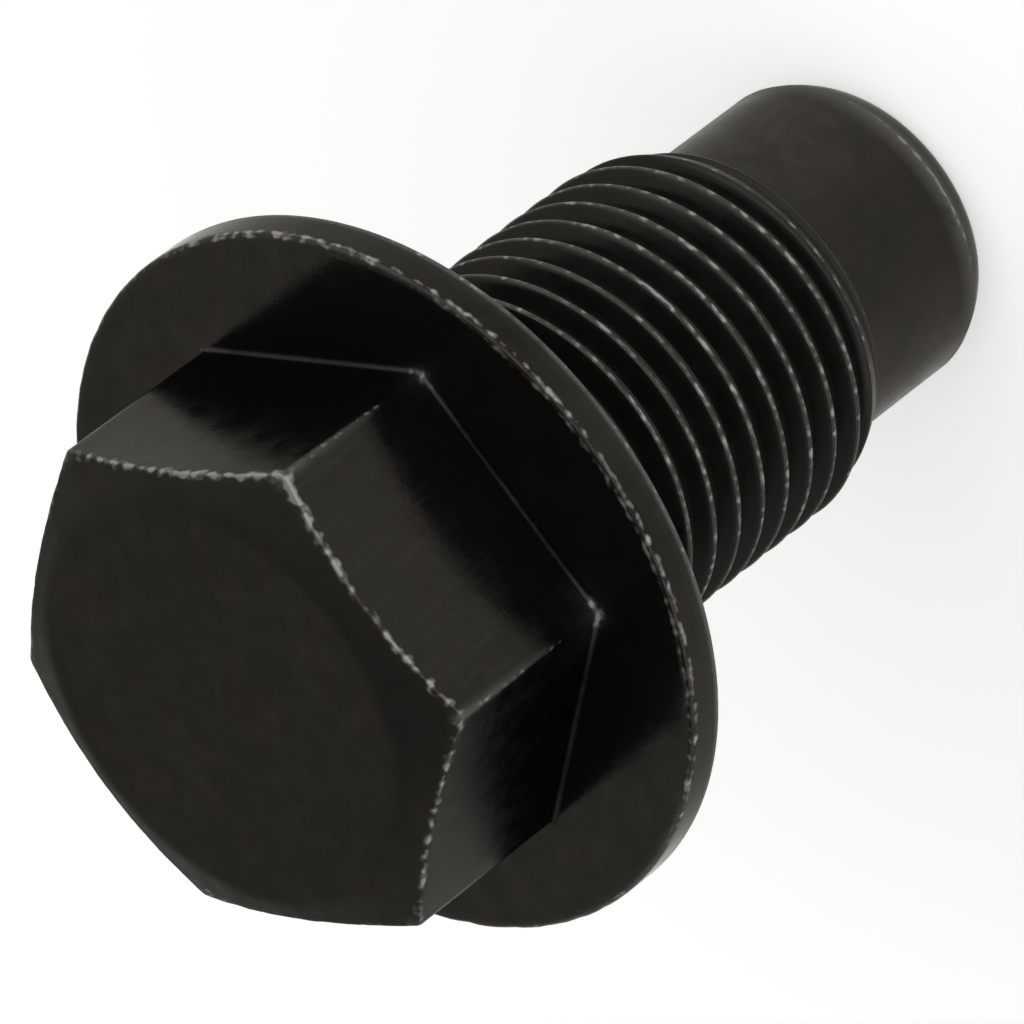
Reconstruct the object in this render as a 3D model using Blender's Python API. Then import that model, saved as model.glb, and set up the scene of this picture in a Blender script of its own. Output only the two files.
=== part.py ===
# Oil drain plug with a long pilot: hexagon flange head, M16 x 1.5 right-hand thread and a plain pilot,
# forged and turned from one piece of steel. It stands on the flat end of its pilot, head up, axis on Z.
import math

import bmesh
import bpy

MM = 0.001

# Pilot: the plain end that finds the hole
PILOT_LENGTH = 8.05 * MM
PILOT_STEP = 0.58 * MM  # how far it lies below the thread's root
PILOT_END_WIDTH = 1.4 * MM  # crowned chamfer round the end face, radially
PILOT_END_HEIGHT = 1.6 * MM  # the same along the axis
PILOT_END_TURN = math.radians(45.0)  # arc from the end face to the edge that it leaves on the side
PILOT_END_FACETS = 4

# Thread and its plain neck under the flange
THREAD_DIAMETER = 16.0 * MM
THREAD_PITCH = 1.5 * MM
THREAD_LENGTH = 17.9 * MM  # from the pilot's shoulder to the neck, lead-in included
SHOULDER_WIDTH = 0.65 * MM  # short steep slope from the pilot out to the first edge of the thread, radially
SHOULDER_RISE = 0.55 * MM  # the same along the axis
LEAD_IN_LENGTH = 2.45 * MM  # tapered start of the thread, with the shoulder
GROOVE_START = 1.75 * MM  # the groove's first middle, below the shoulder
GROOVE_TURN = 0.5  # its first section, in segments past +X, so that its sections miss the blank's edges
ROOT_WIDTH = 0.25 * MM
FLANK_ANGLE = math.radians(60.0)
NECK_LENGTH = 1.5 * MM  # its straight part, where the groove runs out
NECK_STEP = 0.08 * MM  # how far it lies below the thread's root
SEAT_STEP = 0.15 * MM  # from the crests out to the flat seat, where the neck's fillet ends
NECK_FACETS = 4

# Flange
FLANGE_DIAMETER = 29.5 * MM
FLANGE_THICKNESS = 1.7 * MM
RIM_CHAMFER = 0.3 * MM

# Hexagon head
ACROSS_FLATS = 19.0 * MM
HEAD_HEIGHT = 9.2 * MM
CROWN_INSET = 1.15 * MM  # from the flats in to the round edge of the top face
CROWN_ANGLE = math.radians(25.0)
FOOT_FILLET = 0.6 * MM  # where the flats meet the flange
FILLET_FACETS = 4

SEGMENTS = 56  # round the axis, and in each turn of the thread
CUT_OVERLAP = 1.0 * MM  # how far the head's shapes run past each other
GROOVE_OVERLAP = 0.1 * MM  # how far the groove's cutter stands out of the crests

# A metric external thread is 17/24 as deep as the sharp triangle on its pitch
thread_depth = 17 / 24 * THREAD_PITCH / 2 / math.tan(FLANK_ANGLE / 2)
thread_radius = THREAD_DIAMETER / 2
root_radius = thread_radius - thread_depth
pilot_radius = root_radius - PILOT_STEP
neck_radius = root_radius - NECK_STEP
neck_fillet = thread_radius + SEAT_STEP - neck_radius
flange_radius = FLANGE_DIAMETER / 2
shoulder_height = PILOT_LENGTH
neck_height = shoulder_height + THREAD_LENGTH
seat_height = neck_height + NECK_LENGTH + neck_fillet
flange_top = seat_height + FLANGE_THICKNESS
head_top = flange_top + HEAD_HEIGHT
corner_per_apothem = 1 / math.cos(math.pi / 6)


def new_object(name, bm):
    """Closes the mesh into an object whose faces point out, shaded smooth between its real edges."""
    bmesh.ops.recalc_face_normals(bm, faces=bm.faces)
    mesh = bpy.data.meshes.new(name)
    bm.to_mesh(mesh)
    bm.free()
    mesh.shade_smooth()
    mesh.set_sharp_from_angle(angle=math.radians(25.0))
    obj = bpy.data.objects.new(name, mesh)
    bpy.context.scene.collection.objects.link(obj)
    return obj


def fill_ends(bm):
    open_edges = [edge for edge in bm.edges if edge.is_boundary]
    bmesh.ops.holes_fill(bm, edges=open_edges, sides=0)


def turned(name, profile):
    """A body turned about Z from (radius, height) points, with a flat face across each end."""
    bm = bmesh.new()
    points = [bm.verts.new((radius, 0.0, height)) for radius, height in profile]
    outline = [bm.edges.new(pair) for pair in zip(points, points[1:])]
    bmesh.ops.spin(
        bm,
        geom=points + outline,
        axis=(0, 0, 1),
        cent=(0, 0, 0),
        angle=math.tau,
        steps=SEGMENTS,
        use_merge=True,
    )
    bmesh.ops.remove_doubles(bm, verts=bm.verts, dist=0.001 * MM)
    fill_ends(bm)
    return new_object(name, bm)


def turned_profile():
    """From the pilot's end face up to the middle of the flange's top."""
    profile = []
    for step in range(PILOT_END_FACETS + 1):
        turn = PILOT_END_TURN * step / PILOT_END_FACETS
        inset = PILOT_END_WIDTH * (1 - math.sin(turn) / math.sin(PILOT_END_TURN))
        rise = PILOT_END_HEIGHT * (1 - math.cos(turn)) / (1 - math.cos(PILOT_END_TURN))
        profile.append((pilot_radius - inset, rise))
    profile += [
        (pilot_radius, shoulder_height),
        (pilot_radius + SHOULDER_WIDTH, shoulder_height + SHOULDER_RISE),
        (thread_radius, shoulder_height + LEAD_IN_LENGTH),
        (thread_radius, neck_height),
        (neck_radius, neck_height),
    ]
    for step in range(NECK_FACETS + 1):
        turn = step / NECK_FACETS * math.pi / 2
        radius = neck_radius + neck_fillet * (1 - math.cos(turn))
        profile.append((radius, seat_height - neck_fillet * (1 - math.sin(turn))))
    profile += [
        (flange_radius - RIM_CHAMFER, seat_height),
        (flange_radius, seat_height + RIM_CHAMFER),
        (flange_radius, flange_top - RIM_CHAMFER),
        (flange_radius - RIM_CHAMFER, flange_top),
    ]
    return profile


def hexagon(bm, apothem, height):
    corner_radius = apothem * corner_per_apothem
    ring = []
    for side in range(6):
        turn = side * math.pi / 3
        ring.append(bm.verts.new((corner_radius * math.cos(turn), corner_radius * math.sin(turn), height)))
    return ring


def head_block():
    """The hexagon prism, flared into a fillet at its foot, left taller than the head for the crown to cut."""
    apothem = ACROSS_FLATS / 2
    bm = bmesh.new()
    rings = [hexagon(bm, apothem + FOOT_FILLET, flange_top - FLANGE_THICKNESS / 2)]
    for step in range(1, FILLET_FACETS + 1):
        turn = step / FILLET_FACETS * math.pi / 2
        flare = FOOT_FILLET * (1 - math.sin(turn))
        rings.append(hexagon(bm, apothem + flare, flange_top + FOOT_FILLET * (1 - math.cos(turn))))
    rings.append(hexagon(bm, apothem, head_top + CUT_OVERLAP))
    for lower, upper in zip(rings, rings[1:]):
        for side in range(6):
            following = (side + 1) % 6
            bm.faces.new((lower[side], lower[following], upper[following], upper[side]))
    bm.faces.new(rings[0])
    bm.faces.new(rings[-1])
    return new_object("head_block", bm)


def crown_form():
    """A turned cap with a flat top and a sloping side, which takes the corners off the top of the hexagon."""
    flat_radius = ACROSS_FLATS / 2 - CROWN_INSET
    outer_radius = (ACROSS_FLATS / 2 + FOOT_FILLET) * corner_per_apothem + CUT_OVERLAP
    slope_foot = head_top - (outer_radius - flat_radius) * math.tan(CROWN_ANGLE)
    profile = [(flat_radius, head_top), (outer_radius, slope_foot), (outer_radius, seat_height)]
    return turned("crown_form", profile)


def thread_groove():
    """The V-shaped groove between the crests, carried up a right-hand helix from the pilot to the neck."""
    outer_radius = thread_radius + GROOVE_OVERLAP
    widening = (outer_radius - root_radius) * math.tan(FLANK_ANGLE / 2)
    bottom = shoulder_height - GROOVE_START
    top = neck_height + NECK_LENGTH / 2
    steps = round((top - bottom) / THREAD_PITCH * SEGMENTS)
    section = [
        (root_radius, -ROOT_WIDTH / 2),
        (outer_radius, -ROOT_WIDTH / 2 - widening),
        (outer_radius, ROOT_WIDTH / 2 + widening),
        (root_radius, ROOT_WIDTH / 2),
    ]
    bm = bmesh.new()
    start = math.tau / SEGMENTS * GROOVE_TURN
    points = []
    for radius, offset in section:
        points.append(bm.verts.new((radius * math.cos(start), radius * math.sin(start), bottom + offset)))
    outline = [bm.edges.new((points[i], points[(i + 1) % 4])) for i in range(4)]
    bmesh.ops.spin(
        bm,
        geom=points + outline,
        axis=(0, 0, 1),
        cent=(0, 0, 0),
        dvec=(0, 0, THREAD_PITCH / SEGMENTS),
        angle=math.tau * steps / SEGMENTS,
        steps=steps,
    )
    fill_ends(bm)
    return new_object("thread_groove", bm)


def combine(obj, other, operation):
    """Joins, cuts or intersects with a helper, which isn't part of the object itself."""
    modifier = obj.modifiers.new(other.name, "BOOLEAN")
    modifier.object = other
    modifier.operation = operation
    modifier.solver = "EXACT"
    other.hide_render = True
    other.display_type = "WIRE"


def black_oxide():
    """Blackened steel: very dark, slightly warm, with a dull gloss."""
    material = bpy.data.materials.new("black_oxide_steel")
    material.use_nodes = True
    shader = material.node_tree.nodes["Principled BSDF"]
    shader.inputs["Base Color"].default_value = (0.014, 0.013, 0.011, 1.0)
    shader.inputs["Metallic"].default_value = 0.4
    shader.inputs["Roughness"].default_value = 0.38
    return material


def clear_scene():
    for obj in list(bpy.data.objects):
        bpy.data.objects.remove(obj)


clear_scene()
plug = turned("drain_plug", turned_profile())
head = head_block()
combine(head, crown_form(), "INTERSECT")
combine(plug, head, "UNION")
combine(plug, thread_groove(), "DIFFERENCE")
plug.data.materials.append(black_oxide())
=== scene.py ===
# Oil drain plug in worn black oxide, standing on its pilot on a pale floor.
import math

import bpy
import numpy as np
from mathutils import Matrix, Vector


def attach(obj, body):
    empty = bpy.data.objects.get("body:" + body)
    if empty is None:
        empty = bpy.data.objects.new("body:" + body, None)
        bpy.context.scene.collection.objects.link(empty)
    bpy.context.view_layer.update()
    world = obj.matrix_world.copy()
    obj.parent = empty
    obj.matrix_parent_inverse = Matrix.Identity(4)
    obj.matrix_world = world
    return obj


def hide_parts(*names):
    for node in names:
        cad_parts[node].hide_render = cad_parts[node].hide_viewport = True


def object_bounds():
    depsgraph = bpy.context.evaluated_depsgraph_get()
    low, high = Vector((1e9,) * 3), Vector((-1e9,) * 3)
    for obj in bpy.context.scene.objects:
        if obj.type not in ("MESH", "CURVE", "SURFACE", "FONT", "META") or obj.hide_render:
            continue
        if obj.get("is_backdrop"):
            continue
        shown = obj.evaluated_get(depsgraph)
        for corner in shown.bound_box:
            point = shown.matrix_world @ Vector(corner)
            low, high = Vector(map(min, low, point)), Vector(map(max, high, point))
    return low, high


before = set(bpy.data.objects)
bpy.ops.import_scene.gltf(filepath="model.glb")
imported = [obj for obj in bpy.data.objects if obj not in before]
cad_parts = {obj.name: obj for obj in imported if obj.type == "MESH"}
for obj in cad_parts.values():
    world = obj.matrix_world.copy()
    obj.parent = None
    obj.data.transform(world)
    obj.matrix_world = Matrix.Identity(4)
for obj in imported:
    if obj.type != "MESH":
        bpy.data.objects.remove(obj)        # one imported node, drain_plug, on the body root
cadLow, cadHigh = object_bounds()
mm = 0.001
tau = 2 * math.pi
rng = np.random.default_rng(31)
print("frame loaded", [round(side / mm, 2) for side in cadHigh - cadLow])


# Shapes shared by the parts of the plug
def smoothMin(first, second, blend):
    # the lower of two heights, with a hyperbola of that width where they cross:
    # (a + b - sqrt((a - b)^2 + blend^2)) / 2
    return 0.5 * (first + second - np.sqrt((first - second) ** 2 + blend ** 2))


def smoothMax(first, second, blend):
    # the higher of two heights, softened in the same way
    return -smoothMin(-first, -second, blend)


def ripple(turn, waves, strength):
    # a closed random curve round the axis: a sum of sines, each with a whole number of waves,
    # its own phase and a size from half to whole
    phases = rng.uniform(0, tau, len(waves))
    sizes = rng.uniform(0.5, 1.0, len(waves))
    total = sum(size * np.sin(count * turn + phase) for count, phase, size in zip(waves, phases, sizes))
    return strength * total / math.sqrt(len(waves) / 2)


def angleFromCorner(turn):
    # the angle to the nearest corner of the hexagon; one lies at +X and every 60 degrees from there
    return np.abs((turn + math.pi / 6) % (math.pi / 3) - math.pi / 6)


def hexRadius(turn, apothem, rounding):
    # straight sides r = apothem / cos(angle from the middle of a side), and at each corner an arc whose
    # middle lies on the corner's ray at d = (apothem - rounding) / cos 30:
    # r = d cos a + sqrt(rounding^2 - d^2 sin^2 a), with a the angle from the corner
    fromCorner = angleFromCorner(turn)
    middle = (apothem - rounding) / math.cos(math.pi / 6)
    tangent = math.atan2(rounding / 2, middle + rounding * math.cos(math.pi / 6))
    side = apothem / np.cos(math.pi / 6 - fromCorner)
    inside = np.clip(rounding ** 2 - (middle * np.sin(fromCorner)) ** 2, 0, None)
    return np.where(fromCorner < tangent, middle * np.cos(fromCorner) + np.sqrt(inside), side)


def legPlaces(rings):
    # shares of a leg: as given, or for a number of rings closer together towards its ends, (1 - cos) / 2
    if isinstance(rings, tuple):
        return rings
    return (1 - np.cos(np.pi * np.arange(1, rings + 1) / (rings + 1))) / 2


def roundedProfile(corners, roundings, arcSteps, legRings):
    # a polyline of (r, z) corners for every column at once, with each inner corner cut back by
    # T = rounding tan(turn / 2) along both legs and replaced by the arc between; returns rings of (r, z)
    rings = [corners[0]]
    arcEnd = corners[0]
    for number, (rounding, steps) in enumerate(zip(roundings, arcSteps)):
        here = corners[number + 1]
        legIn = here - corners[number]
        legOut = corners[number + 2] - here
        legIn = legIn / np.linalg.norm(legIn, axis=1, keepdims=True)
        legOut = legOut / np.linalg.norm(legOut, axis=1, keepdims=True)
        cross = legIn[:, 0] * legOut[:, 1] - legIn[:, 1] * legOut[:, 0]
        turn = np.arctan2(cross, (legIn * legOut).sum(axis=1))
        rounding = np.broadcast_to(rounding, turn.shape)
        cut = (rounding * np.abs(np.tan(turn / 2)))[:, None]
        arcStart = here - legIn * cut
        for share in legPlaces(legRings[number]):
            rings.append(arcEnd + (arcStart - arcEnd) * share)
        side = np.stack([-legIn[:, 1], legIn[:, 0]], axis=1) * np.sign(turn)[:, None]
        middle = arcStart + side * rounding[:, None]
        for step in range(steps + 1):
            part = (np.abs(turn) * step / steps)[:, None]
            rings.append(middle + rounding[:, None] * (legIn * np.sin(part) - side * np.cos(part)))
        arcEnd = here + legOut * cut
    for share in legPlaces(legRings[-1]):
        rings.append(arcEnd + (corners[-1] - arcEnd) * share)
    rings.append(corners[-1])
    return rings


# The plug: one closed surface round Z, lengths in mm
plug = {
    "columns": 320,
    "crowding": 0.65,             # how much closer the columns lie at the hexagon's corners
    # heights above the floor
    "shoulder": 8.05, "leadInTop": 10.5, "threadTop": 25.95, "seat": 28.6, "flangeTop": 30.3, "headTop": 39.5,
    # head, flange and neck
    "apothem": 9.5, "cornerRounding": 0.34, "faceRadius": 8.35, "crownAngle": math.radians(25),
    "flangeRadius": 14.75, "neckRadius": 7.0,
    # thread: the middle of its groove crosses +X at grooveMiddle, and it runs out into the neck
    "threadRadius": 8.0, "rootRadius": 7.08, "pitch": 1.5, "grooveMiddle": 6.3, "rootWidth": 0.25,
    "shoulderWidth": 0.65, "shoulderRise": 0.55, "runOutSlope": 1.6,
    # pilot: its worn end is an arc that turns this far from the end face
    "pilotRadius": 6.5, "endInset": 1.4, "endRise": 1.6, "endTurn": math.pi / 4,
    # widths over which the shank's straight lines meet
    "blends": {"taper": 0.1, "shoulder": 0.06, "runOut": 0.05, "pilot": 0.03, "root": 0.07, "crest": 0.08},
}
edges = {
    # roundings; a worn edge has a mean, slow and fast ripples (waves round the plug, size) and limits
    "face": 2.4, "foot": 0.17, "back": 0.2, "neck": 1.15,
    "crown": {"mean": 0.19, "slow": (range(23, 61, 5), 0.045), "fast": (range(90, 150, 11), 0.02),
              "limits": (0.1, 0.32)},
    "rim": {"mean": 0.24, "slow": (range(31, 80, 7), 0.035), "fast": (range(95, 150, 9), 0.02),
            "limits": (0.15, 0.34)},
}
rows = {
    # rings on each straight leg: shares of its length, or a number of rings that crowd towards its ends
    "face": (0.12, 0.25, 0.38, 0.5, 0.62, 0.74, 0.87),
    "crown": 2,
    "flats": (0.04, 0.1, 0.18, 0.28, 0.4, 0.52, 0.64, 0.75, 0.85, 0.95, 0.99),
    "flange": (0.02, 0.1, 0.24, 0.42, 0.6, 0.76, 0.88, 0.95),
    "rimSide": 3, "seat": 5, "neck": 2, "pilotSide": 8,
    "endFace": (0.25, 0.5, 0.75, 1.0),
    # steps round each edge, from the face to the neck, and rings round the pilot's end
    "arcs": (4, 8, 6, 7, 4, 5), "endArc": 10,
    # mm along the axis from the groove's middle to the crest's
    "thread": (0, 0.09, 0.17, 0.29, 0.42, 0.53, 0.61, 0.68, 0.75),
    "threadFoot": 0.36,           # the thread's lowest row, mm above the shoulder
    "snap": 0.02,                 # a row this near to an end of the thread is held there
    "shoulder": (0.26, 0.16, 0.08, 0.02, -0.04, -0.12),      # mm above the shoulder
    "aboveEnd": 0.1,              # mm from the side's last ring to the pilot's worn end
}
even = tau * np.arange(plug["columns"]) / plug["columns"]
theta = even - plug["crowding"] * np.sin(6 * even) / 6     # six crowded places, at the corners


def column(radius, height):
    # one profile corner as an (N, 2) array over all columns
    return np.stack([np.broadcast_to(radius, theta.shape), np.broadcast_to(height, theta.shape)], axis=1)


def wornRounding(edge):
    # a worn edge's rounding at every column: its mean plus its two ripples, kept within its limits
    worn = edge["mean"] + ripple(theta, *edge["slow"]) + ripple(theta, *edge["fast"])
    return np.clip(worn, *edge["limits"])


def headRings():
    # from the middle of the top face out over the crown, down the flats, across the flange and its rim,
    # and in over the seat to the neck's straight part
    corners = [
        column(0.0, plug["headTop"]),
        column(plug["faceRadius"], plug["headTop"]),
        column(hexagon, crownFoot),
        column(hexagon, plug["flangeTop"]),
        column(plug["flangeRadius"], plug["flangeTop"]),
        column(plug["flangeRadius"], plug["seat"]),
        column(plug["neckRadius"], plug["seat"]),
        column(plug["neckRadius"], plug["threadTop"]),
    ]
    crown, rim = wornRounding(edges["crown"]), wornRounding(edges["rim"])
    roundings = [edges["face"], crown, edges["foot"], rim, edges["back"], edges["neck"]]
    legRings = [rows[leg] for leg in ("face", "crown", "flats", "flange", "rimSide", "seat", "neck")]
    return roundedProfile(corners, roundings, rows["arcs"], legRings)


def blankRadius(height):
    # the shank before its groove is cut: the pilot, the short shoulder, the tapered start, the crests'
    # cylinder and the run-out at the neck, each a straight line in (r, z), with the meeting lines softened
    blends = plug["blends"]
    steepness = plug["shoulderWidth"] / plug["shoulderRise"]
    shoulder = plug["pilotRadius"] + steepness * (height - plug["shoulder"])
    slope = (plug["threadRadius"] - startRadius) / (plug["leadInTop"] - startHeight)
    taper = smoothMin(startRadius + slope * (height - startHeight), plug["threadRadius"], blends["taper"])
    runOut = plug["neckRadius"] + plug["runOutSlope"] * (plug["threadTop"] - height)
    outer = smoothMin(smoothMin(shoulder, taper, blends["shoulder"]), runOut, blends["runOut"])
    return smoothMax(outer, plug["pilotRadius"], blends["pilot"])


def threadRadiusAt(turn, height):
    # d is the distance along the axis from the nearest middle of the groove, which climbs one pitch a turn;
    # r = max(root, root + sqrt(3) (d - half the root's width)), cut off by the blank and rounded there
    along = (height - plug["grooveMiddle"]) / plug["pitch"] - turn / tau
    distance = np.abs(along - np.round(along)) * plug["pitch"]
    flank = plug["rootRadius"] + math.sqrt(3) * (distance - plug["rootWidth"] / 2)
    groove = smoothMax(flank, plug["rootRadius"], plug["blends"]["root"])
    return smoothMin(groove, blankRadius(height), plug["blends"]["crest"]), distance


def threadRows():
    # helical rows: row k m + j lies at z = groove middle + pitch (k + f_j + theta / 2 pi), held between the
    # two ends, so the rows follow the groove and its crests; m rows later the same row has gone once round
    pitch, middle = plug["pitch"], plug["grooveMiddle"]
    places = np.array(rows["thread"]) / pitch
    shares = np.concatenate([places, 1 - places[-2:0:-1]])
    low, high = plug["shoulder"] + rows["threadFoot"], plug["threadTop"]
    firstTurn = math.floor((low - middle) / pitch) - 1
    lastTurn = math.ceil((high - middle) / pitch) + 1
    turns = np.arange(firstTurn, lastTurn)[:, None] + shares[None, :]
    heights = middle + pitch * (turns.reshape(-1, 1) + theta[None, :] / tau)
    heights = np.where(heights - low < rows["snap"], low, heights)
    heights = np.where(high - heights < rows["snap"], high, heights)
    return heights[::-1], len(shares)


def pilotRings():
    # down the shoulder and the pilot's side, round its worn end and in to the middle of the end face;
    # at a turn t of the whole turn T, the end has 1 - sin t / sin T of its inset and
    # (1 - cos t) / (1 - cos T) of its rise
    atShoulder = plug["shoulder"] + np.array(rows["shoulder"])
    fall = plug["endRise"] + rows["aboveEnd"] - atShoulder[-1]
    heights = np.concatenate([atShoulder, atShoulder[-1] + legPlaces(rows["pilotSide"]) * fall])
    rings = [column(blankRadius(height), height) for height in heights]
    endTurn = plug["endTurn"]
    for turn in np.linspace(endTurn, 0, rows["endArc"]):
        inset = plug["endInset"] * (1 - math.sin(turn) / math.sin(endTurn))
        rise = plug["endRise"] * (1 - math.cos(turn)) / (1 - math.cos(endTurn))
        rings.append(column(plug["pilotRadius"] - inset, rise))
    endRadius = plug["pilotRadius"] - plug["endInset"]
    rings += [column(endRadius * (1 - share), 0.0) for share in rows["endFace"]]
    return rings


startRadius = plug["pilotRadius"] + plug["shoulderWidth"]      # the thread's first edge
startHeight = plug["shoulder"] + plug["shoulderRise"]
hexagon = hexRadius(theta, plug["apothem"], plug["cornerRounding"])
crownFoot = plug["headTop"] - math.tan(plug["crownAngle"]) * (hexagon - plug["faceRadius"])
head = np.stack(headRings())[:-1]                  # (rings, columns, 2); its last ring is the thread's first
threadZ, rowsPerTurn = threadRows()                # from the neck down
threadR, grooveDistance = threadRadiusAt(theta[None, :], threadZ)
pilot = np.stack(pilotRings())
threadStart, threadEnd = len(head), len(head) + len(threadZ)
ringR = np.concatenate([head[..., 0], threadR, pilot[..., 0]])
ringZ = np.concatenate([head[..., 1], threadZ, pilot[..., 1]])
points = np.stack([ringR * np.cos(theta), ringR * np.sin(theta), ringZ], axis=-1)
print("plug grid", points.shape, "thread rows a turn", rowsPerTurn)


def gridFaces(index, shift):
    # quads between neighbouring rings; the last column meets the first one, shift rings nearer the head
    beside = np.full_like(index, -1)
    beside[:, :-1] = index[:, 1:]
    beside[shift:, -1] = index[:len(index) - shift, 0]
    fours = np.stack([index[:-1], index[1:], beside[1:], beside[:-1]], axis=-1).reshape(-1, 4)
    return fours[(fours >= 0).all(axis=1)]


def closedFaces():
    # the three stretches of rings, with the rows that are held at the thread's ends made one ring,
    # each pole one point, and quads that lose a side made triangles
    index = np.arange(ringR.size).reshape(ringR.shape)
    same = index.copy()
    thread = slice(threadStart, threadEnd)
    same[thread] = np.where(threadZ >= threadZ.max(), index[threadStart], same[thread])
    same[thread] = np.where(threadZ <= threadZ.min(), index[threadEnd - 1], same[thread])
    same[0], same[-1] = index[0, 0], index[-1, 0]
    fours = np.concatenate([
        gridFaces(index[:threadStart + 1], 0),
        gridFaces(index[thread], rowsPerTurn),
        gridFaces(index[threadEnd - 1:], 0),
    ])
    fours = same.reshape(-1)[fours]
    one, two, three, four = fours.T
    empty = ((one == two) & (three == four)) | ((two == three) & (four == one))
    lost = [one == two, two == three, three == four, four == one]
    kept = [(one, three, four), (one, two, four), (one, two, three), (one, two, three)]
    threes = [np.stack(rest, axis=1)[gone & ~empty] for gone, rest in zip(lost, kept)]
    return fours[~np.any(lost, axis=0)], np.concatenate(threes)


quads, triangles = closedFaces()
print("faces", len(quads), "quads and", len(triangles), "triangles")


# Wear, finish and painted light: a table gives values at angles round the axis in degrees, +X first; widths
# are in mm
wear = {
    # beads of bare steel along the edges
    "crown": {
        "strength": {0: 0.76, 30: 0.76, 60: 0.74, 90: 0.76, 120: 0.92, 150: 0.74, 180: 0.7, 210: 0.68,
                     240: 0.74, 262: 0.74, 285: 0.82, 300: 1.1, 315: 0.94, 340: 0.86},
        "width": {0: 0.24, 52: 0.24, 60: 0.5, 68: 0.24, 112: 0.24, 117: 0.6, 120: 0.9, 123: 0.6, 128: 0.24,
                  180: 0.24, 200: 0.21, 292: 0.21, 298: 0.34, 302: 0.34, 308: 0.24},
    },
    "corner": {"strength": {0: 0.56, 60: 0.46, 120: 0.46, 180: 0.56, 240: 0.62, 300: 0.54}, "width": 0.15},
    "foot": {
        "strength": {0: 0.5, 5: 0.0, 234: 0.0, 238: 1.0, 242: 1.0, 246: 0.0, 256: 0.2, 284: 0.2, 293: 0.0,
                     298: 0.7, 302: 0.7, 307: 0.0, 355: 0.0},
        "width": {0: 0.2, 8: 0.1, 232: 0.1, 240: 0.42, 248: 0.1, 292: 0.1, 300: 0.34, 308: 0.1, 352: 0.1},
    },
    "rimOuter": {
        "strength": {0: 0.72, 60: 0.58, 120: 0.54, 180: 0.62, 230: 0.7, 270: 0.72, 310: 0.74, 340: 0.76},
        "width": 0.12,
    },
    "rimInner": {
        "strength": {0: 0.5, 90: 0.5, 180: 0.62, 200: 0.64, 215: 0.66, 240: 0.7, 265: 0.7, 285: 0.68,
                     300: 0.6, 320: 0.64, 345: 0.7},
        "width": 0.12,
    },
    "back": {"strength": 0.6, "width": 0.13},
    "crest": {"strength": 0.7, "width": 0.115},
    "start": {"strength": 0.4, "width": 0.12},
    "end": {
        "strength": {0: 0.5, 60: 0.4, 180: 0.45, 225: 0.6, 240: 0.8, 262: 0.9, 290: 0.86, 305: 0.66,
                     330: 0.5},
        "width": 0.24,
    },
}
smearAndSheen = {
    # smooth lines beside them, where the finish is only thinned, and one painted sheen, footGlow
    "cornerTop": {"strength": {0: 0.5, 60: 0.3, 120: 0.3, 180: 0.5, 240: 0.7, 300: 0.6}, "width": 0.2},
    "foot": {
        "strength": {0: 0.6, 6: 0.3, 60: 0.1, 120: 0.1, 180: 0.05, 225: 0.0, 235: 0.3, 239: 1.0, 241: 0.5,
                     250: 0.0, 288: 0.0, 296: 0.25, 300: 0.9, 303: 0.3, 320: 0.16, 352: 0.18},
        "width": {0: 0.18, 120: 0.16, 230: 0.16, 239: 0.5, 246: 0.15, 290: 0.17, 300: 0.4, 308: 0.18},
    },
    # painted sheen: lighter low on the flats beside the corners at 240 and 300 degrees
    "footGlow": {
        "strength": {230: 0.0, 236: 0.4, 240: 0.7, 244: 0.5, 250: 0.0, 295: 0.0, 300: 0.4, 305: 0.0},
        "width": 1.1,
    },
    "rimInner": {
        "strength": {0: 0.3, 120: 0.3, 150: 0.75, 200: 0.75, 222: 0.0, 285: 0.0, 315: 0.3},
        "width": 0.12,
    },
    "back": {"strength": 1.0, "width": 0.13},
    "crest": {"strength": {0: 0.6, 180: 0.35, 205: 0.28, 240: 0.17, 290: 0.22, 322: 0.6}, "width": 0.08},
    "start": {"strength": 0.45, "width": 0.1},
    "end": {"strength": {0: 0.7, 180: 0.6, 225: 0.8, 245: 1.0, 300: 1.0, 325: 0.8}, "width": 0.32},
}
paintedShade = {
    # painted shade, nearly black, on the flats, the crown, the corner at the flats' foot, the rim and the
    # pilot, each by its table round the axis
    "flats": {0: 0.4, 180: 0.7, 205: 1.0, 222: 1.0, 242: 0.45, 250: 0.33, 290: 0.33, 305: 0.4, 330: 0.5},
    "crown": {0: 0.0, 20: 0.08, 45: 0.4, 135: 0.4, 160: 0.08, 215: 0.08, 240: 0.26, 265: 0.16, 300: 0.19,
              330: 0.08},
    "foot": {0: 0.5, 180: 0.8, 220: 1.0, 295: 0.95, 305: 0.55},
    "rim": {0: 0.08, 30: 0.24, 90: 0.32, 180: 0.24, 205: 0.2, 225: 0.24, 240: 0.4, 255: 0.62, 266: 0.4,
            274: 0.4, 285: 0.6, 300: 0.52, 316: 0.22, 332: 0.0},
    "pilot": {0: 0.09, 200: 0.0, 225: 0.14, 245: 0.37, 275: 0.37, 295: 0.14, 325: 0.0},
    "footWidth": 0.18,
    "crownReach": 0.6,            # mm inwards from the face's edge
}
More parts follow.
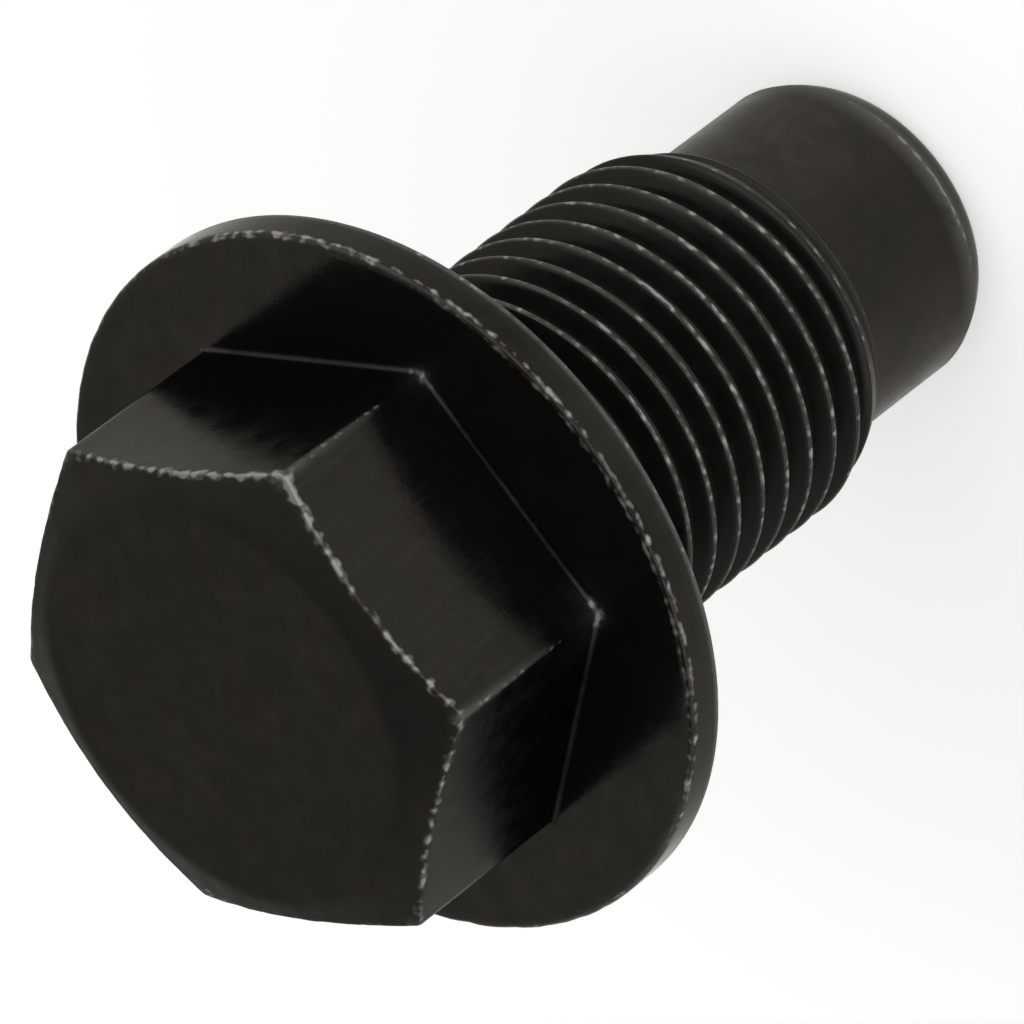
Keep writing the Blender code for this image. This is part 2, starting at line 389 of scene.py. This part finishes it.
# the finish, with the painted sheen on the flats and the painted shade in the thread
finishAndPaintedLight = {
    "dulled": {180: 0.0, 186: 0.3, 234: 0.3, 240: 0.0},      # flats that have lost their gloss
    # painted sheen: lighter on the flats under the crown, and how many mm down from the crown it reaches
    "flatsSheen": {0: 0.1, 30: 0.08, 90: 0.05, 150: 0.05, 210: 0.04, 245: 0.0, 295: 0.0, 312: 0.1, 330: 0.26,
                350: 0.22},
    "flatsSheenReach": 5,
    # painted shade: darker in the thread, up to this far from the groove's middle, and wherever the blank is
    # tapered
    "grooveShade": {0: 0.5, 150: 0.6, 190: 0.85, 215: 1.0, 290: 1.0, 320: 0.4, 359: 0.4},
    "grooveEdge": 0.67, "grooveFade": 0.07, "taperEdge": 0.05, "taperFade": 0.1,
    "turnedFoot": 0.16,           # width of the matt turned line along the flats' foot
    # the corners' wear falls towards the foot: least share, mm of height and power of it
    "cornerLeast": 0.42, "cornerHeight": 8, "cornerPower": 1.3,
    "cornerTopSlope": 2.2,        # how fast the smear at the corners' tops falls with it
    "rimApart": {0: 0.08, 214: 0.08, 230: 0.2, 296: 0.2, 312: 0.08},         # the rim's inner line, inwards
    "rimDrop": 0.2, "rimStep": 0.01, "backRise": 0.17,       # its other lines, from the flange's sharp edges
    "crestRise": 0.3,             # the crests' wear is whole this far above the root
    "footClear": 0.2, "crownStep": 0.1, "flatDepth": 0.02, "rimDepth": 0.05,    # limits of the places
}


def allRound(table):
    # a table's values at every column; a plain number holds all round
    if not isinstance(table, dict):
        return table
    return np.interp(np.degrees(theta), list(table), list(table.values()), period=360)


ringNumber = np.arange(len(ringR))[:, None]
onHead, onPilot = ringNumber < threadStart, ringNumber >= threadEnd
onThread = ~(onHead | onPilot)
aboveFoot = onHead & (ringZ > plug["flangeTop"] + finishAndPaintedLight["footClear"])
footGap = np.hypot(ringR - hexagon, ringZ - plug["flangeTop"])


def edgePlaces():
    # for each edge the gap to it in mm, the points that it may reach, and a share of its strength there
    alongFlats = aboveFoot & (ringZ < crownFoot + finishAndPaintedLight["crownStep"])
    climbed = np.clip((ringZ - plug["flangeTop"]) / finishAndPaintedLight["cornerHeight"], 0, 1) ** finishAndPaintedLight["cornerPower"]
    fade = finishAndPaintedLight["cornerLeast"] + (1 - finishAndPaintedLight["cornerLeast"]) * climbed
    cornerGap = ringR * angleFromCorner(theta)
    pastRim, aboveFlange = ringR - plug["flangeRadius"], ringZ - plug["flangeTop"]
    rimOuter = np.hypot(pastRim + finishAndPaintedLight["rimStep"], aboveFlange + finishAndPaintedLight["rimDrop"])
    rimInner = np.hypot(pastRim + allRound(finishAndPaintedLight["rimApart"]), aboveFlange + finishAndPaintedLight["rimStep"])
    crestGap = np.zeros_like(ringR)
    crestGap[threadStart:threadEnd] = plug["pitch"] / 2 - grooveDistance
    standing = np.clip((ringR - plug["rootRadius"]) / finishAndPaintedLight["crestRise"], 0, 1)
    return {
        "crown": (np.hypot(ringR - hexagon, ringZ - crownFoot), onHead, 1),
        "corner": (cornerGap, alongFlats, fade),
        "cornerTop": (cornerGap, alongFlats, finishAndPaintedLight["cornerTopSlope"] * (fade - 0.5)),
        "foot": (footGap, onHead, 1),
        "footGlow": (footGap, alongFlats, 1),
        "rimOuter": (rimOuter, onHead, 1),
        "rimInner": (rimInner, onHead, 1),
        "back": (np.hypot(pastRim, ringZ - plug["seat"] - finishAndPaintedLight["backRise"]), onHead, 1),
        "crest": (crestGap, onThread, standing),
        "start": (np.hypot(ringR - startRadius, ringZ - startHeight), onThread, 1),
        "end": (np.abs(ringZ - plug["endRise"]), onPilot, 1),
    }


def edgeField(lines, places):
    # each edge gives strength * share * exp(-(gap / width)^2), and the strongest counts
    field = np.zeros_like(ringR)
    for name, line in lines.items():
        gap, where, share = places[name]
        level = allRound(line["strength"]) * share * np.exp(-(gap / allRound(line["width"])) ** 2)
        np.maximum(field, np.where(where, level, 0), out=field)
    return field


def paintedShadeField(onFlat):
    # the painted shade: each place's table, at the crown times a slope up to the face's edge and at the
    # flats' foot times exp(-(gap / width)^2), and the strongest counts
    reach = paintedShade["crownReach"]
    onCrown = onHead & (ringZ > crownFoot + finishAndPaintedLight["crownStep"]) & (ringR > plug["faceRadius"] - reach)
    crownShare = np.clip((ringR - plug["faceRadius"]) / reach + 1, 0, 1)
    footShare = np.exp(-(footGap / paintedShade["footWidth"]) ** 2)
    onRim = onHead & (ringR > plug["flangeRadius"] - finishAndPaintedLight["rimDepth"]) & (ringZ < plug["flangeTop"])
    field = np.zeros_like(ringR)
    for name, where, share in (
        ("flats", onFlat, 1),
        ("crown", onCrown, crownShare),
        ("foot", onHead, footShare),
        ("rim", onRim, 1),
        ("pilot", onPilot, 1),
    ):
        np.maximum(field, np.where(where, allRound(paintedShade[name]) * share, 0), out=field)
    return field


def surfaceFields():
    # how much of each wear, finish and painted light a point has, from 0 to 1: the three fields above,
    # the matt turned face and crown, the marks drawn down the flats, the painted sheen on the flats under the
    # crown, the painted shade in the thread below its crests and on its taper, and the pilot
    places = edgePlaces()
    onFlat = aboveFoot & (np.abs(ringR - hexagon) < finishAndPaintedLight["flatDepth"]) & (ringZ < crownFoot)
    turnedTop = np.clip((ringZ - crownFoot) / finishAndPaintedLight["crownStep"] + 0.5, 0, 1)
    turnedFoot = np.exp(-(footGap / finishAndPaintedLight["turnedFoot"]) ** 2)
    turned = np.where(onHead, np.maximum(turnedTop, turnedFoot), 0)
    belowCrown = np.clip(1 - (crownFoot - ringZ) / finishAndPaintedLight["flatsSheenReach"], 0, 1)
    # painted shade in the thread below its crests and on its taper; the same field sets their roughness
    belowCrest = np.clip((finishAndPaintedLight["grooveEdge"] - grooveDistance) / finishAndPaintedLight["grooveFade"], 0, 1)
    belowThread = plug["threadRadius"] - finishAndPaintedLight["taperEdge"] - blankRadius(threadZ)
    tapered = np.clip(belowThread / finishAndPaintedLight["taperFade"], 0, 1)
    groove = np.zeros_like(ringR)
    groove[threadStart:threadEnd] = np.maximum(belowCrest * allRound(finishAndPaintedLight["grooveShade"]), tapered)
    return {
        "wear": edgeField(wear, places),
        "smearAndSheen": edgeField(smearAndSheen, places),
        "paintedShade": paintedShadeField(onFlat),
        "turned": np.where(onFlat, allRound(finishAndPaintedLight["dulled"]), turned),
        "flats": onFlat.astype(float),
        "flatsSheen": np.where(onFlat, allRound(finishAndPaintedLight["flatsSheen"]) * belowCrown, 0),
        "groove": groove,
        "pilot": onPilot * np.ones_like(ringR),
    }


def makePiece(name, grid, fours, threes, attributes):
    # only the points that a face uses; lengths go from mm to m
    corners = np.concatenate([fours.reshape(-1), threes.reshape(-1)])
    used, renumbered = np.unique(corners, return_inverse=True)
    fourIndex = renumbered[:fours.size].reshape(-1, 4)
    threeIndex = renumbered[fours.size:].reshape(-1, 3)
    mesh = bpy.data.meshes.new(name)
    vertices = grid.reshape(-1, 3)[used] * mm
    mesh.from_pydata(vertices.tolist(), [], fourIndex.tolist() + threeIndex.tolist())
    mesh.shade_smooth()
    for attribute, values in attributes.items():
        layer = mesh.attributes.new(attribute, "FLOAT", "POINT")
        layer.data.foreach_set("value", values.reshape(-1)[used].astype(np.float32))
    piece = bpy.data.objects.new(name, mesh)
    bpy.context.scene.collection.objects.link(piece)
    return piece


wornPlug = makePiece("worn_plug", points, quads, triangles, surfaceFields())
print("worn plug", len(wornPlug.data.vertices), "points")


# Materials
def newMaterial(name):
    material = bpy.data.materials.new(name)
    material.use_nodes = True
    material.node_tree.nodes.clear()
    return material, material.node_tree.nodes, material.node_tree.links


def mathNode(nodes, links, operation, *values):
    node = nodes.new("ShaderNodeMath")
    node.operation = operation
    for socket, value in zip(node.inputs, values):
        if isinstance(value, (int, float)):
            socket.default_value = value
        else:
            links.new(value, socket)
    return node.outputs[0]


def noiseNode(nodes, links, vector, perMm, detail, roughness):
    # a noise whose features are about 1 / perMm millimetres across
    node = nodes.new("ShaderNodeTexNoise")
    links.new(vector, node.inputs["Vector"])
    node.inputs["Scale"].default_value = perMm / mm
    node.inputs["Detail"].default_value = detail
    node.inputs["Roughness"].default_value = roughness
    return node.outputs["Fac"]


def ramp(nodes, links, value, low, high, toLow=0.0, toHigh=1.0):
    # a smooth step from toLow to toHigh as the value goes from low to high
    node = nodes.new("ShaderNodeMapRange")
    node.interpolation_type = "SMOOTHSTEP"
    links.new(value, node.inputs["Value"])
    for name, number in (("From Min", low), ("From Max", high), ("To Min", toLow), ("To Max", toHigh)):
        node.inputs[name].default_value = number
    return node.outputs["Result"]


def mixColours(nodes, links, share, first, second):
    # inputs 6 and 7 and output 2 are the node's colour sockets
    node = nodes.new("ShaderNodeMix")
    node.data_type = "RGBA"
    links.new(share, node.inputs["Factor"])
    for socket, value in ((node.inputs[6], first), (node.inputs[7], second)):
        if isinstance(value, tuple):
            socket.default_value = (*value, 1)
        else:
            links.new(value, socket)
    return node.outputs[2]


oxide = {
    # colours; nearly all of it is reflection, so these are reflectances
    "green": (0.0325, 0.0350, 0.0280),    # greenish black
    "brown": (0.0420, 0.0362, 0.0305),    # brownish black, in patches
    "grooveShade": (0.0230, 0.0218, 0.0188),  # painted shade between the crests, and the same colour as a mottle elsewhere
    "paintedShadeBlack": (0.0040, 0.0038, 0.0033),  # painted shade, nearly black
    "pilot": (0.0490, 0.0415, 0.0345),
    "rubbedAndSheen": (0.108, 0.107, 0.098),      # thin finish beside the bare metal, and the painted sheen on the flats
    "bare": (0.27, 0.266, 0.25),
    "metallic": 0.91,
    "edgeTint": (0.61, 0.60, 0.58),       # an oxide brightens less than clean metal at a grazing angle
    # noises: features across a mm, detail and roughness
    "patches": (0.4, 5, 0.7), "cloud": (0.9, 4, 0.6), "beads": (2.7, 0.6, 0.5), "fine": (7.0, 3, 0.6),
    "drawn": (4.5, 4, 0.65), "drawnStretch": (1, 1, 0.06),
    # smooth steps: from these two values of a noise or a field, to 0 and 1 or to the other two
    "brownPatches": (0.36, 0.64), "pilotPatches": (0.3, 0.7),
    "fineMottle": (0.3, 0.72, 0.0, 0.25), "cloudMottle": (0.34, 0.66, 0.0, 0.35),
    "darkClouds": (0.3, 0.7, 1.25, 0.75), "drawnThinning": (0.0, 0.2, 0.0, 0.06),
    "wearOnset": (0.05, 0.35), "calmPilot": (0.0, 1.0, 1.0, 0.45), "smearAndSheenClouds": (0.25, 0.55, 0.45, 1.0),
    "toRubbed": (0.44, 0.72), "toBare": (0.72, 0.96), "glossClouds": (0.3, 0.7, 0.12, 0.20),
    "beadSwing": 1.75, "fineSwing": 0.15,    # how far these noises swing the wear
    "roughness": {"plain": 0.15, "turned": 0.5, "flats": 0.155, "groove": 0.3, "pilot": 0.27, "bare": 0.42},
    "drawnRoughness": 0.25,
    "heights": {"fine": 0.35, "drawn": 0.4, "bare": -0.5, "cloud": 0.6, "patches": 2.2},
    "bumpStrength": 0.3, "bumpDepth": 0.02,  # mm
}


def blackOxide():
    # colour: two blacks mixed by a noise, then the finish, painted shade and painted sheen of each place by
    # its attribute; wear plus a bead noise passes a low step to rubbed finish and a high step to bare steel;
    # the flats have marks drawn along the axis; roughness goes from plain to each place's own by the same
    # attributes
    material, nodes, links = newMaterial("worn_black_oxide")

    def maths(operation, *values):
        return mathNode(nodes, links, operation, *values)

    def mix(share, first, second):
        return mixColours(nodes, links, share, first, second)

    def step(value, name):
        return ramp(nodes, links, value, *oxide[name])

    def swing(noise, amount):
        # a noise moved to swing about zero
        return maths("MULTIPLY", maths("SUBTRACT", noise, 0.5), amount)

    def attribute(name):
        node = nodes.new("ShaderNodeAttribute")
        node.attribute_name = name
        return node.outputs["Fac"]

    place = nodes.new("ShaderNodeTexCoord").outputs["Object"]
    along = nodes.new("ShaderNodeMapping")
    along.inputs["Scale"].default_value = oxide["drawnStretch"]
    links.new(place, along.inputs["Vector"])
    patches, cloud, beads, fine = [
        noiseNode(nodes, links, place, *oxide[name]) for name in ("patches", "cloud", "beads", "fine")
    ]
    drawn = noiseNode(nodes, links, along.outputs["Vector"], *oxide["drawn"])
    turned, flats, groove, pilot = [attribute(name) for name in ("turned", "flats", "groove", "pilot")]
    drawnMark = maths("MULTIPLY", swing(drawn, 1.0), flats)

    tint = mix(step(patches, "brownPatches"), oxide["green"], oxide["brown"])
    tint = mix(maths("MULTIPLY", pilot, step(patches, "pilotPatches")), tint, oxide["pilot"])
    tint = mix(maths("ADD", step(fine, "fineMottle"), step(cloud, "cloudMottle")), tint, oxide["grooveShade"])
    # painted shade in the thread below its crests and on its taper
    tint = mix(groove, tint, oxide["grooveShade"])
    # painted shade, nearly black, broken up by the clouds
    tint = mix(maths("MULTIPLY", attribute("paintedShade"), step(cloud, "darkClouds")), tint, oxide["paintedShadeBlack"])
    # painted sheen on the flats under the crown, and the drawn marks, in the rubbed colour
    tint = mix(maths("ADD", attribute("flatsSheen"), step(drawnMark, "drawnThinning")), tint, oxide["rubbedAndSheen"])

    worn = attribute("wear")
    uneven = maths("ADD", swing(beads, oxide["beadSwing"]), swing(fine, oxide["fineSwing"]))
    uneven = maths("MULTIPLY", uneven, step(pilot, "calmPilot"))
    wornness = maths("ADD", worn, maths("MULTIPLY", uneven, step(worn, "wearOnset")))
    # the smear, with the painted sheen low on the flats, broken up by the clouds
    smearAndSheenShare = maths("MULTIPLY", attribute("smearAndSheen"), step(cloud, "smearAndSheenClouds"))
    rubbedAndSheen = maths("MAXIMUM", step(wornness, "toRubbed"), smearAndSheenShare)
    bare = step(wornness, "toBare")

    shader = nodes.new("ShaderNodeBsdfPrincipled")
    shader.inputs["Metallic"].default_value = oxide["metallic"]
    shader.inputs["Specular Tint"].default_value = (*oxide["edgeTint"], 1)
    links.new(mix(bare, mix(rubbedAndSheen, tint, oxide["rubbedAndSheen"]), oxide["bare"]), shader.inputs["Base Color"])

    ofPlace = oxide["roughness"]
    roughness = step(cloud, "glossClouds")
    for name, share in (
        ("turned", turned), ("flats", flats), ("groove", groove), ("pilot", pilot), ("bare", rubbedAndSheen),
    ):
        roughness = maths("ADD", roughness, maths("MULTIPLY", share, ofPlace[name] - ofPlace["plain"]))
    drawnDullness = maths("ABSOLUTE", maths("MULTIPLY", drawnMark, oxide["drawnRoughness"]))
    links.new(maths("ADD", roughness, drawnDullness), shader.inputs["Roughness"])

    height = maths("MULTIPLY", fine, oxide["heights"]["fine"])
    for name, value in (("drawn", drawnMark), ("bare", bare), ("cloud", cloud), ("patches", patches)):
        height = maths("ADD", height, maths("MULTIPLY", value, oxide["heights"][name]))
    bump = nodes.new("ShaderNodeBump")
    bump.inputs["Strength"].default_value = oxide["bumpStrength"]
    bump.inputs["Distance"].default_value = oxide["bumpDepth"] * mm
    links.new(height, bump.inputs["Height"])
    links.new(bump.outputs["Normal"], shader.inputs["Normal"])
    output = nodes.new("ShaderNodeOutputMaterial")
    links.new(shader.outputs[0], output.inputs["Surface"])
    return material


wornPlug.data.materials.append(blackOxide())
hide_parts("drain_plug")
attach(wornPlug, "root")
print("black oxide done")


# Floor, light and camera
studio = {
    "floorSize": 1.6,             # m, half a side
    "floorColour": (0.85, 0.85, 0.84),
    "floorGlow": 0.44,            # added for the camera and for reflections
    "leaning": 0.25,              # how far the dark middle of the sky leans to -X
    "crossing": 0.25,             # the sky goes from front to back between -Y and +Y of this size
    # sine of the height above the horizon, and the sky's level there, before and behind the plug
    "front": [(0.0, 0.97), (0.06, 1.0), (0.16, 1.5), (0.6, 1.5), (0.75, 1.3), (0.88, 0.3), (1.0, 0.15)],
    "back": [(0.0, 0.97), (0.06, 0.92), (0.16, 0.55), (0.63, 0.55), (0.82, 0.4), (0.92, 0.18), (1.0, 0.15)],
}
view = {
    "lens": 421.9, "sensor": 36,  # mm
    "azimuth": -88.72, "elevation": 39.2, "roll": 127.36,
    "distance": 454.5, "aim": (-0.873, 1.584, 21.716),       # mm
    "near": 0.01, "far": 10,      # m
}


def direction(azimuth, elevation):
    # the unit vector at those two angles in degrees
    turn, rise = math.radians(azimuth), math.radians(elevation)
    return np.array([math.cos(rise) * math.cos(turn), math.cos(rise) * math.sin(turn), math.sin(rise)])


def lookFrom(position, target, roll):
    # the matrix of a camera at position that looks at target, turned about its own axis
    ahead = (target - position) / np.linalg.norm(target - position)
    right = np.cross(ahead, (0, 0, 1))
    right = right / np.linalg.norm(right)
    up = np.cross(right, ahead)
    tilted = math.cos(math.radians(roll)) * up + math.sin(math.radians(roll)) * right
    matrix = np.eye(4)
    matrix[:3] = np.stack([np.cross(ahead, tilted), tilted, -ahead, position], axis=1)
    return matrix.T.tolist()


def paleFloor():
    side = studio["floorSize"]
    mesh = bpy.data.meshes.new("pale_floor")
    corners = [(-side, -side, 0), (side, -side, 0), (side, side, 0), (-side, side, 0)]
    mesh.from_pydata(corners, [], [(0, 1, 2, 3)])
    floor = bpy.data.objects.new("pale_floor", mesh)
    bpy.context.scene.collection.objects.link(floor)
    material, nodes, links = newMaterial("pale_floor")
    matt = nodes.new("ShaderNodeBsdfDiffuse")
    matt.inputs["Color"].default_value = (*studio["floorColour"], 1)
    rays = nodes.new("ShaderNodeLightPath").outputs
    seen = mathNode(nodes, links, "MAXIMUM", rays["Is Camera Ray"], rays["Is Glossy Ray"])
    seen = mathNode(nodes, links, "MAXIMUM", seen, rays["Is Transmission Ray"])
    glow = nodes.new("ShaderNodeEmission")
    links.new(mathNode(nodes, links, "MULTIPLY", seen, studio["floorGlow"]), glow.inputs["Strength"])
    both = nodes.new("ShaderNodeAddShader")
    links.new(matt.outputs[0], both.inputs[0])
    links.new(glow.outputs[0], both.inputs[1])
    output = nodes.new("ShaderNodeOutputMaterial")
    links.new(both.outputs[0], output.inputs["Surface"])
    mesh.materials.append(material)
    floor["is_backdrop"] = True


def skyLight():
    # a plain soft sky: brighter before the plug than behind it, white at the horizon and dark overhead;
    # its level is one ramp over z - leaning x z on each side, mixed across +-Y
    world = bpy.data.worlds.new("sky")
    bpy.context.scene.world = world
    world.use_nodes = True
    nodes, links = world.node_tree.nodes, world.node_tree.links
    nodes.clear()
    apart = nodes.new("ShaderNodeSeparateXYZ")
    links.new(nodes.new("ShaderNodeTexCoord").outputs["Generated"], apart.inputs[0])
    leaning = mathNode(nodes, links, "MULTIPLY", apart.outputs["X"], studio["leaning"])
    leaning = mathNode(nodes, links, "MULTIPLY", leaning, apart.outputs["Z"])
    height = mathNode(nodes, links, "SUBTRACT", apart.outputs["Z"], leaning)
    sides = []
    for side in ("front", "back"):
        levels = nodes.new("ShaderNodeValToRGB")
        elements = levels.color_ramp.elements
        for place, level in studio[side][1:-1]:
            elements.new(place)
        for element, (place, level) in zip(elements, studio[side]):
            element.position = place
            element.color = (level, level, level, 1)
        links.new(height, levels.inputs[0])
        sides.append(levels.outputs[0])
    behind = ramp(nodes, links, apart.outputs["Y"], -studio["crossing"], studio["crossing"])
    background = nodes.new("ShaderNodeBackground")
    links.new(mixColours(nodes, links, behind, *sides), background.inputs["Color"])
    output = nodes.new("ShaderNodeOutputWorld")
    links.new(background.outputs[0], output.inputs["Surface"])


def photoCamera():
    data = bpy.data.cameras.new("camera")
    data.sensor_width = view["sensor"]
    data.lens = view["lens"]
    data.clip_start, data.clip_end = view["near"], view["far"]
    camera = bpy.data.objects.new("camera", data)
    bpy.context.scene.collection.objects.link(camera)
    aim = np.array(view["aim"]) * mm
    position = aim + view["distance"] * mm * direction(view["azimuth"], view["elevation"])
    camera.matrix_world = lookFrom(position, aim, view["roll"])
    bpy.context.scene.camera = camera


paleFloor()
skyLight()
photoCamera()
bpy.context.scene.view_settings.view_transform = "Standard"
print("studio ready")

visualLow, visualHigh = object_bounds()
boxes = {"cad": (cadLow, cadHigh), "visual": (visualLow, visualHigh)}
for name, box in boxes.items():
    print(name, "box in mm", [[round(value / mm, 3) for value in corner] for corner in box])
